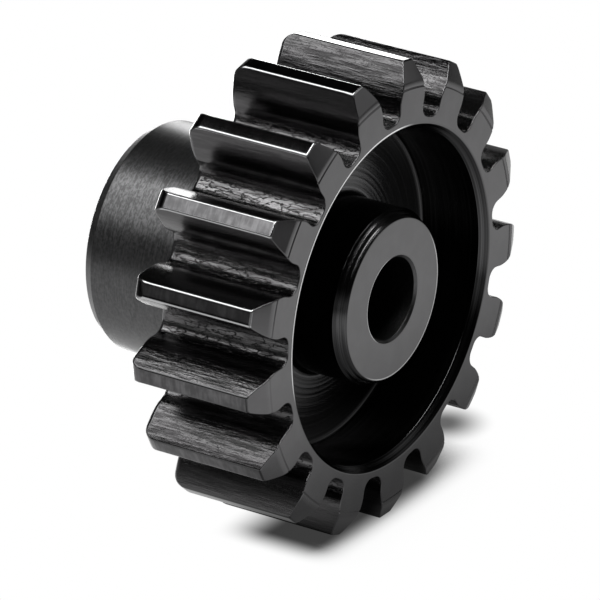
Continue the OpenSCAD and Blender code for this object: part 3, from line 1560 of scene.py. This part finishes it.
# Name, tint, roughness and how far it varies, marks and their depth, contrast of pale and dark
GEAR_STEELS = {
    Region.FLANK: BlackOxide("hobbed_flank", (0.063, 0.062, 0.063), 0.2, 0.2, Marks.HOBBED, 0.065, 1.9),
    Region.LAND: BlackOxide("tooth_land", (0.085, 0.084, 0.086), 0.13, 0.06, Marks.TIPS, 0.003, 1.35),
    Region.FACE: BlackOxide("faced_end", (0.112, 0.111, 0.113), 0.22, 0.06, Marks.FACED, 0.001, 1.04),
    Region.DISH: BlackOxide("turned_dish", (0.056, 0.056, 0.057), 0.16, 0.12, Marks.DISH, 0.01, 1.5),
    Region.HUB: BlackOxide("brushed_hub", (0.077, 0.077, 0.078), 0.33, 0.1, Marks.BRUSHED, 0.007, 1.4),
    # The edge steel is a painted highlight: bright on its side of the gear and dark elsewhere
    Region.EDGE: BlackOxide("painted_edge_highlight", (0.165, 0.165, 0.167), 0.2, 0.06, Marks.PAINTED_EDGE_HIGHLIGHT, 0.001, 2.3),
    # The rim steel is a painted highlight: bright on its sides of the gear and dark elsewhere
    Region.RIM: BlackOxide("painted_rim_highlight", (0.27, 0.27, 0.272), 0.2, 0.06, Marks.PAINTED_RIM_HIGHLIGHT, 0.001, 2.9),
}
SCREW_STEEL = BlackOxide("set_screw_steel", (0.07, 0.07, 0.073), 0.32, 0.1, Marks.TIPS, 0.003)


@dataclass
class ToothRing:
    """Repeats the tooth sector round the axis with Geometry Nodes and adds the hob's marks."""

    sizes: GearSizes
    steels: dict[Region, bpy.types.Material]
    mark_depth: float = 0.016
    marks_across: float = 2.6
    marks_along: float = 0.22
    seed: float = 4.0

    INPUTS = {
        "Geometry": "NodeSocketGeometry",
        "Teeth": "NodeSocketInt",
        "Mark depth": "NodeSocketFloat",
        "Marks per metre across": "NodeSocketFloat",
        "Marks per metre along": "NodeSocketFloat",
        "Seed": "NodeSocketFloat",
    }
    MASK = "marked"

    def tree(self) -> bpy.types.GeometryNodeTree:
        """Builds the node tree that repeats the sector.

        Returns:
            The tree, with named inputs for its sizes.
        """
        made = bpy.data.node_groups.new("tooth_ring", "GeometryNodeTree")
        for name, kind in self.INPUTS.items():
            made.interface.new_socket(name, in_out="INPUT", socket_type=kind)
        made.interface.new_socket("Geometry", in_out="OUTPUT", socket_type="NodeSocketGeometry")
        board = Board(made)
        source = made.nodes.new("NodeGroupInput")
        given = {s.name: Wire(board, s) for s in source.outputs if s.name}
        teeth = self._repeated(board, given["Geometry"], given["Teeth"])
        amount = self._mark_noise(board, given) * given["Mark depth"] * self._mask(board)
        normal = board.node("GeometryNodeInputNormal")
        scaled = {0: normal, "Scale": amount}
        offset = board.node("ShaderNodeVectorMath", {"operation": "SCALE"}, scaled)
        moved = board.node("GeometryNodeSetPosition", None, {"Geometry": teeth, "Offset": offset})
        shape = board.node("GeometryNodeRealizeInstances", None, {"Geometry": moved})
        number = board.node("GeometryNodeInputMaterialIndex")
        for region in (Region.FLANK, Region.LAND, Region.FACE, Region.EDGE):
            settings = {"data_type": "INT", "operation": "EQUAL"}
            chosen = board.node("FunctionNodeCompare", settings, {2: number, 3: region.value})
            inputs = {"Geometry": shape, "Selection": chosen, "Material": self.steels[region]}
            shape = board.node("GeometryNodeSetMaterial", None, inputs)
        board.node("NodeGroupOutput", None, {0: shape})
        return made

    def _repeated(self, board: Board, sector: Wire, teeth: Wire) -> Wire:
        """Repeats the sector round the axis and welds the copies.

        Args:
            board: Where the nodes go.
            sector: The sector's geometry.
            teeth: Number of teeth.

        Returns:
            The geometry of the whole ring.
        """
        points = board.node("GeometryNodePoints", None, {"Count": teeth})
        turn = board.node("GeometryNodeInputIndex") * (2 * math.pi) / teeth
        euler = board.node("ShaderNodeCombineXYZ", None, {"Z": turn})
        rotation = board.node("FunctionNodeEulerToRotation", None, {0: euler})
        inputs = {"Points": points, "Instance": sector, "Rotation": rotation}
        ring = board.node("GeometryNodeInstanceOnPoints", None, inputs)
        real = board.node("GeometryNodeRealizeInstances", None, {"Geometry": ring})
        return board.node("GeometryNodeMergeByDistance", None, {"Geometry": real, "Distance": WELD})

    def _mark_noise(self, board: Board, given: dict[str, Wire]) -> Wire:
        """Noise of the hob's marks, long along the teeth, from -0.5 to 0.5.

        Args:
            board: Where the nodes go.
            given: The tree's inputs.

        Returns:
            The noise.
        """
        across, along = given["Marks per metre across"], given["Marks per metre along"]
        scale = board.node("ShaderNodeCombineXYZ", None, {"X": across, "Y": across, "Z": along})
        spread = board.vector("MULTIPLY", board.node("GeometryNodeInputPosition"), scale)
        inputs = {"Vector": spread, "W": given["Seed"], "Scale": 1.0, "Detail": 3.0}
        return board.node("ShaderNodeTexNoise", {"noise_dimensions": "4D"}, inputs) - 0.5

    def _mask(self, board: Board) -> Wire:
        """The attribute that says how strongly a vertex takes the marks."""
        settings = {"data_type": "FLOAT"}
        return board.node("GeometryNodeInputNamedAttribute", settings, {"Name": self.MASK})

    def build(self) -> bpy.types.Mesh:
        """Evaluates the tree on one sector.

        Returns:
            The plain mesh of all the teeth.
        """
        mesh = ToothSector(self.sizes).build().mesh("tooth_sector")
        for region in Region:
            mesh.materials.append(self.steels[region])
        self._cut_ngons(mesh)
        mask = mesh.attributes.new(self.MASK, "FLOAT", "POINT")
        mask.data.foreach_set("value", self._side_vertices(mesh))
        holder = new_object("tooth_sector", mesh)
        modifier = holder.modifiers.new("ring", "NODES")
        modifier.node_group = self.tree()
        wanted = {
            "Teeth": self.sizes.teeth,
            "Mark depth": self.mark_depth * MM,
            "Marks per metre across": self.marks_across / MM,
            "Marks per metre along": self.marks_along / MM,
            "Seed": self.seed,
        }
        for item in modifier.node_group.interface.items_tree:
            if item.in_out == "INPUT" and item.name in wanted:
                modifier[item.identifier] = wanted[item.name]
        bpy.context.view_layer.update()
        graph = bpy.context.evaluated_depsgraph_get()
        plain = bpy.data.meshes.new_from_object(
            holder.evaluated_get(graph), preserve_all_data_layers=True, depsgraph=graph
        )
        bpy.data.objects.remove(holder)
        return plain

    def _cut_ngons(self, mesh: bpy.types.Mesh) -> None:
        """Triangulates the flat ends, which are single faces of many corners.

        Args:
            mesh: The sector's mesh.
        """
        work = bmesh.new()
        work.from_mesh(mesh)
        many = [f for f in work.faces if len(f.verts) > 4]
        bmesh.ops.triangulate(work, faces=many, ngon_method="BEAUTY")
        work.to_mesh(mesh)
        work.free()

    def _side_vertices(self, mesh: bpy.types.Mesh) -> list[float]:
        """How strongly each vertex takes the hob's marks.

        Args:
            mesh: The sector's mesh.

        Returns:
            1 on the flanks and 0 on every other surface, on the edges and where two sectors meet.
        """
        flank = np.ones(len(mesh.vertices))
        touched = np.zeros(len(mesh.vertices))
        seam = self.sizes.pitch_angle / 2 - SMALL_ANGLE
        for polygon in mesh.polygons:
            corners = list(polygon.vertices)
            touched[corners] = 1
            if polygon.material_index != Region.FLANK.value:
                flank[corners] = 0
        for i, vertex in enumerate(mesh.vertices):
            if abs(math.atan2(vertex.co.y, vertex.co.x)) > seam:
                flank[i] = 0
        return list(flank * touched)


@dataclass
class Pinion:
    """The gear as one closed piece: the ring of teeth and the turned body, welded."""

    sizes: GearSizes

    def build(self) -> bpy.types.Object:
        """Builds the gear.

        Returns:
            The finished object.
        """
        steels = {region: GEAR_STEELS[region].build() for region in Region}
        ring = ToothRing(self.sizes, steels).build()
        turned = TurnedBody(self.sizes).build().mesh("turned_body")
        for steel in steels.values():
            turned.materials.append(steel)
        mesh = join_meshes("gear_body", [ring, turned], list(steels.values()))
        settle_normals(mesh)
        return new_object("gear_body", mesh)


def join_meshes(
    name: str, meshes: Sequence[bpy.types.Mesh], materials: Sequence[bpy.types.Material]
) -> bpy.types.Mesh:
    """Welds meshes into one.

    Args:
        name: Name of the new mesh.
        meshes: What is joined, with materials in any order.
        materials: The materials of the result, in order.

    Returns:
        The joined mesh.
    """
    numbers = {m.name: i for i, m in enumerate(materials)}
    work = bmesh.new()
    for mesh in meshes:
        first = len(work.faces)
        work.from_mesh(mesh)
        work.faces.ensure_lookup_table()
        names = [m.name if m else "" for m in mesh.materials]
        for face in work.faces[first:]:
            face.material_index = numbers.get(names[face.material_index], 0)
    bmesh.ops.remove_doubles(work, verts=work.verts, dist=WELD)
    bmesh.ops.dissolve_degenerate(work, edges=work.edges, dist=NO_LENGTH)
    open_edges = sum(1 for e in work.edges if len(e.link_faces) != 2)
    LOG.info("%s: %d faces, %d open edges", name, len(work.faces), open_edges)
    made = bpy.data.meshes.new(name)
    work.to_mesh(made)
    work.free()
    for material in materials:
        made.materials.append(material)
    mask = made.attributes.get(ToothRing.MASK)
    if mask:
        made.attributes.remove(mask)
    return made


def settle_normals(mesh: bpy.types.Mesh) -> None:
    """Shades a mesh smoothly, with normals that follow its large faces.

    Args:
        mesh: A closed mesh whose edges are rounded in its own shape.
    """
    mesh.polygons.foreach_set("use_smooth", [True] * len(mesh.polygons))
    mesh.update()
    weights = np.zeros((len(mesh.vertices), 3))
    for polygon in mesh.polygons:
        push = np.array(polygon.normal) * polygon.area
        weights[list(polygon.vertices)] += push
    length = np.linalg.norm(weights, axis=1)
    length[length == 0] = 1.0
    mesh.normals_split_custom_set_from_vertices((weights / length[:, None]).tolist())


class SeenBy(Enum):
    """Which rays see a piece of the studio."""

    CAMERA_AND_SHINE = "camera and shine"
    SHINE = "shine"


def place_in_studio(name: str, mesh: bpy.types.Mesh, seen_by: SeenBy) -> None:
    """Puts a piece of the studio in the scene, where it casts no shadow.

    Args:
        name: The object's name.
        mesh: Its mesh.
        seen_by: Which rays see it.
    """
    made = new_object(name, mesh)
    made.visible_camera = seen_by is SeenBy.CAMERA_AND_SHINE
    made.visible_diffuse = False
    made.visible_shadow = False


def seen_white(board: Board) -> Wire:
    """Strength of a white background for the rays that show it.

    Args:
        board: Where the nodes go.

    Returns:
        1 for camera, glossy and transmission rays, and half of that for the rest.
    """
    shown = board.node("ShaderNodeLightPath", output="Is Camera Ray")
    shine = board.node("ShaderNodeLightPath", output="Is Glossy Ray")
    through = board.node("ShaderNodeLightPath", output="Is Transmission Ray")
    seen = board.math("MAXIMUM", board.math("MAXIMUM", shown, shine), through)
    return board.ramp(seen, 0.0, 1.0, 0.5, 1.0)


@dataclass(frozen=True)
class Softbox:
    """A diffuse light panel that the steel mirrors, turned towards the gear."""

    name: str
    azimuth_deg: float
    elevation_deg: float
    width: float
    height: float
    strength: float
    border: float = 0.2
    distance: float = 600.0

    def build(self) -> None:
        """Hangs the panel, which only shows in reflections."""
        a, e = math.radians(self.azimuth_deg), math.radians(self.elevation_deg)
        out = Vector((math.cos(a) * math.cos(e), math.sin(a) * math.cos(e), math.sin(e)))
        side = UP.cross(out).normalized()
        up = out.cross(side)
        half_w, half_h = self.width / 2 * MM, self.height / 2 * MM
        centre = out * self.distance * MM
        signs = ((-1, -1), (1, -1), (1, 1), (-1, 1))
        corners = [tuple(centre + side * x * half_w + up * y * half_h) for x, y in signs]
        mesh = bpy.data.meshes.new(self.name)
        mesh.from_pydata(corners, [], [(0, 1, 2, 3)])
        layer = mesh.uv_layers.new(name="panel")
        for loop, (x, y) in zip(layer.data, signs):
            loop.uv = ((x + 1) / 2, (y + 1) / 2)
        mesh.materials.append(self._glow())
        place_in_studio(self.name, mesh, SeenBy.SHINE)

    def _glow(self) -> bpy.types.Material:
        """Makes the panel's glow, which fades towards its border.

        Returns:
            The material.
        """
        material, board = new_material(self.name)
        place = board.node("ShaderNodeUVMap", {"uv_map": "panel"})
        fade: Wire | float = 1.0
        for axis in "XY":
            along = board.node("ShaderNodeSeparateXYZ", None, {"Vector": place}, axis)
            fade = board.ramp(board.math("MINIMUM", along, 1 - along), 0.0, self.border) * fade
        board.surface(board.node("ShaderNodeEmission", None, {"Strength": fade * self.strength}))
        return material


@dataclass(frozen=True)
class PhotoCamera:
    """The camera that took the photograph."""

    focal_px: float = 7496.0
    frame_px: float = 600.0
    sensor: float = 36.0
    distance: float = 436.8
    azimuth_deg: float = -92.59
    elevation_deg: float = 30.41
    roll_deg: float = 105.31
    aim: Point3 = (-0.738, -1.422, 11.504)
    near_m: float = 0.01
    far_m: float = 10.0

    def build(self) -> None:
        """Places the camera."""
        data = bpy.data.cameras.new("camera")
        data.sensor_width = self.sensor
        data.lens = self.focal_px / self.frame_px * self.sensor
        data.clip_start, data.clip_end = self.near_m, self.far_m
        camera = new_object("camera", data)
        a, e = math.radians(self.azimuth_deg), math.radians(self.elevation_deg)
        back = Vector((math.sin(a) * math.cos(e), -math.cos(a) * math.cos(e), math.sin(e)))
        level = UP.cross(back).normalized()
        up = back.cross(level)
        roll = math.radians(self.roll_deg)
        right = level * math.cos(roll) + up * math.sin(roll)
        above = back.cross(right)
        place = Vector(self.aim) * MM + back * self.distance * MM
        turned = Matrix((right, above, back)).transposed()
        camera.matrix_world = Matrix.Translation(place) @ turned.to_4x4()
        bpy.context.scene.camera = camera


@dataclass(frozen=True)
class Room:
    """The photographed table's level and its room.

    The photographed gear lies on two of its teeth, so that room's up is a direction across the bore.
    """

    up_deg: float = 115.8
    table_below: float = 14.05
    radius: float = 900.0

    @property
    def up(self) -> Vector:
        """Direction away from the table."""
        a = math.radians(self.up_deg)
        return Vector((math.cos(a), math.sin(a), 0.0))

    @property
    def side(self) -> Vector:
        """Direction across the table and the bore."""
        return UP.cross(self.up)

    def point(self, turn: float, lift: float) -> Point3:
        """Place on a dome over the table.

        Args:
            turn: Angle round the dome, in radians.
            lift: Angle above the table.

        Returns:
            The place in metres.
        """
        level = self.side * math.cos(turn) + UP * math.sin(turn)
        centre = -self.up * self.table_below * MM
        reach = (level * math.cos(lift) + self.up * math.sin(lift)) * self.radius * MM
        return tuple(centre + reach)


@dataclass(frozen=True)
class WhiteTable:
    """The white table, which keeps a soft shadow of the gear and is clear from below.

    Spans are along the bore unless they say otherwise, and each rest is the share that is left.
    """

    room: Room
    rim_steps: int = 64
    # The shadow: how far the gear darkens the table, and how open the dark and the clear places are
    shadow_reach: float = 7.0
    shadow_samples: int = 32
    shadow_open: Point2 = (0.34, 0.9)
    shadow_rest: float = 0.045
    shadow_starts: Point2 = (9.0, 12.5)
    shadow_fades: Point2 = (15.5, 18.2)
    shadow_fades_rest: float = 0.05
    shadow_ends_across: Point2 = (5.5, 8.0)
    # The small second shadow, by the distance from its middle
    second_place: Point3 = (17.6, -7.1, 12.6)
    second_span: Point2 = (0.3, 3.2)
    second_rest: float = 0.14
    # What the steel mirrors: a pool of light round the gear, dimmed beside it and behind it
    pool_span: Point2 = (45.0, 180.0)
    pool_rest: float = 0.2
    dim_middle: float = 18.0
    dim_span: Point2 = (0.5, 16.0)
    dim_rest: float = 0.25
    back_span: Point2 = (-60.0, -35.0)
    back_rest: float = 0.1

    def build(self) -> None:
        """Lays the table."""
        turns = np.linspace(0, 2 * math.pi, self.rim_steps + 1)[:-1]
        mesh = bpy.data.meshes.new("white_table")
        mesh.from_pydata([self.room.point(t, 0.0) for t in turns], [], [list(range(self.rim_steps))])
        if mesh.polygons[0].normal.dot(self.room.up) < 0:
            mesh.flip_normals()
        mesh.materials.append(self._white())
        place_in_studio("white_table", mesh, SeenBy.CAMERA_AND_SHINE)

    def _white(self) -> bpy.types.Material:
        """Makes the table's white.

        Returns:
            The material.
        """
        material, board = new_material("white_table")
        place = board.object_place()
        mirrored = board.node("ShaderNodeLightPath", output="Is Glossy Ray")
        lit = 1 - mirrored * (1 - self._mirrored_light(board, place))
        strength = self._shade(board, place) * lit * seen_white(board)
        glow = board.node("ShaderNodeEmission", None, {"Strength": strength})
        clear = board.node("ShaderNodeBsdfTransparent")
        below = board.node("ShaderNodeNewGeometry", output="Backfacing")
        board.surface(board.node("ShaderNodeMixShader", None, {0: below, 1: glow, 2: clear}))
        return material

    def _shade(self, board: Board, place: Wire) -> Wire:
        """Brightness of the table in the gear's shadows.

        Args:
            board: Where the nodes go.
            place: The place on the table.

        Returns:
            1 in the open, and less in the shadows.
        """
        settings = {"samples": self.shadow_samples}
        inputs = {"Distance": self.shadow_reach * MM}
        open_share = board.node("ShaderNodeAmbientOcclusion", settings, inputs, "AO")
        along = board.height_of(place)
        kept = board.ramp_mm(along, self.shadow_starts)
        kept = kept * board.ramp_mm(along, self.shadow_fades, 1.0, self.shadow_fades_rest)
        across = board.vector("DOT_PRODUCT", place, tuple(self.room.side), output=1)
        kept = kept * board.ramp_mm(across, self.shadow_ends_across, 1.0, 0.0)
        shade = 1 - (1 - board.ramp(open_share, *self.shadow_open, self.shadow_rest, 1.0)) * kept
        middle = tuple(x * MM for x in self.second_place)
        second = board.vector("DISTANCE", place, middle, output=1)
        return shade * board.ramp_mm(second, self.second_span, self.second_rest, 1.0)

    def _mirrored_light(self, board: Board, place: Wire) -> Wire:
        """Brightness of the table in the steel.

        Args:
            board: Where the nodes go.
            place: The place on the table.

        Returns:
            1 in the pool of light round the gear, and less outside it.
        """
        along = board.height_of(place)
        far = board.vector("LENGTH", place, output=1)
        off = board.math("ABSOLUTE", along - self.dim_middle * MM)
        light = board.ramp_mm(far, self.pool_span, 1.0, self.pool_rest)
        light = light * board.ramp_mm(along, self.back_span, self.back_rest, 1.0)
        return light * board.ramp_mm(off, self.dim_span, self.dim_rest, 1.0)


@dataclass(frozen=True)
class DarkCloth:
    """The dark cloth over the table that black steel needs to look black."""

    room: Room
    around: int = 48
    rows: int = 14
    # Share of the room's height over which the cloth grows dark, and its glow at both ends
    heights: Point2 = (-0.02, 0.3)
    glow: Point2 = (0.33, 0.01)

    def build(self) -> None:
        """Hangs the cloth, which only shows in reflections."""
        verts, faces = [], []
        for j in range(self.rows + 1):
            lift = math.pi / 2 * j / self.rows
            verts += [self.room.point(2 * math.pi * i / self.around, lift) for i in range(self.around)]
        for j in range(self.rows):
            low, high = j * self.around, (j + 1) * self.around
            for i in range(self.around):
                k = (i + 1) % self.around
                faces.append((low + i, low + k, high + k, high + i))
        mesh = bpy.data.meshes.new("dark_cloth")
        mesh.from_pydata(verts, [], faces)
        material, board = new_material("dark_cloth")
        lift = board.vector("DOT_PRODUCT", board.object_place(), tuple(self.room.up), output=1)
        glow = board.ramp(lift / (self.room.radius * MM), *self.heights, *self.glow)
        board.surface(board.node("ShaderNodeEmission", None, {"Strength": glow}))
        mesh.materials.append(material)
        place_in_studio("dark_cloth", mesh, SeenBy.SHINE)


class Studio:
    """Camera, panels, world, table and cloth of the photograph."""

    # Name, azimuth, elevation, width, height, strength, soft border and distance
    SOFTBOXES = (
        Softbox("key_softbox", 153.0, -30.0, 540.0, 420.0, 3.0, 0.3),
        Softbox("key_lamp", 133.5, -30.0, 130.0, 320.0, 6.0, 0.15, 560.0),
        Softbox("top_softbox", 55.0, 45.0, 900.0, 700.0, 0.55, 0.4),
        Softbox("top_strip", 125.0, 9.0, 1000.0, 170.0, 13.0, 0.2),
        Softbox("rear_card", 35.0, -33.0, 44.0, 26.0, 3.0, 0.3, 90.0),
        Softbox("rear_low_card", 2.0, -50.0, 30.0, 24.0, 9.0, 0.2, 42.0),
        Softbox("side_low_card", -56.0, -29.0, 10.0, 7.0, 4.0, 0.25, 15.4),
        Softbox("top_tooth_card", 55.7, -14.6, 10.0, 19.0, 11.0, 0.2, 38.5),
    )

    def world(self) -> None:
        """Makes a white surrounding."""
        world = bpy.data.worlds.new("white_room")
        bpy.context.scene.world = world
        world.use_nodes = True
        world.node_tree.nodes.clear()
        board = Board(world.node_tree)
        inputs = {"Color": (1, 1, 1, 1), "Strength": seen_white(board)}
        white = board.node("ShaderNodeBackground", None, inputs)
        board.node("ShaderNodeOutputWorld", None, {"Surface": white})

    def build(self) -> None:
        """Builds the whole studio."""
        room = Room()
        PhotoCamera().build()
        self.world()
        WhiteTable(room).build()
        DarkCloth(room).build()
        for softbox in self.SOFTBOXES:
            softbox.build()
        bpy.context.scene.view_settings.view_transform = "Standard"


def main() -> None:
    """Builds the gear, its set screw and the studio."""
    logging.basicConfig(level=logging.INFO, format="%(name)s: %(message)s")
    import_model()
    sizes = GearSizes()
    body = Pinion(sizes).build()
    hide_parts("pinion")
    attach(body, "root")
    LOG.info("gear body is in place")
    screw = SetScrew(sizes).build()
    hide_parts("set_screw")
    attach(screw, "root")
    LOG.info("set screw is in place")
    Studio().build()
    LOG.info("studio is in place")


if __name__ == "__main__":
    main()
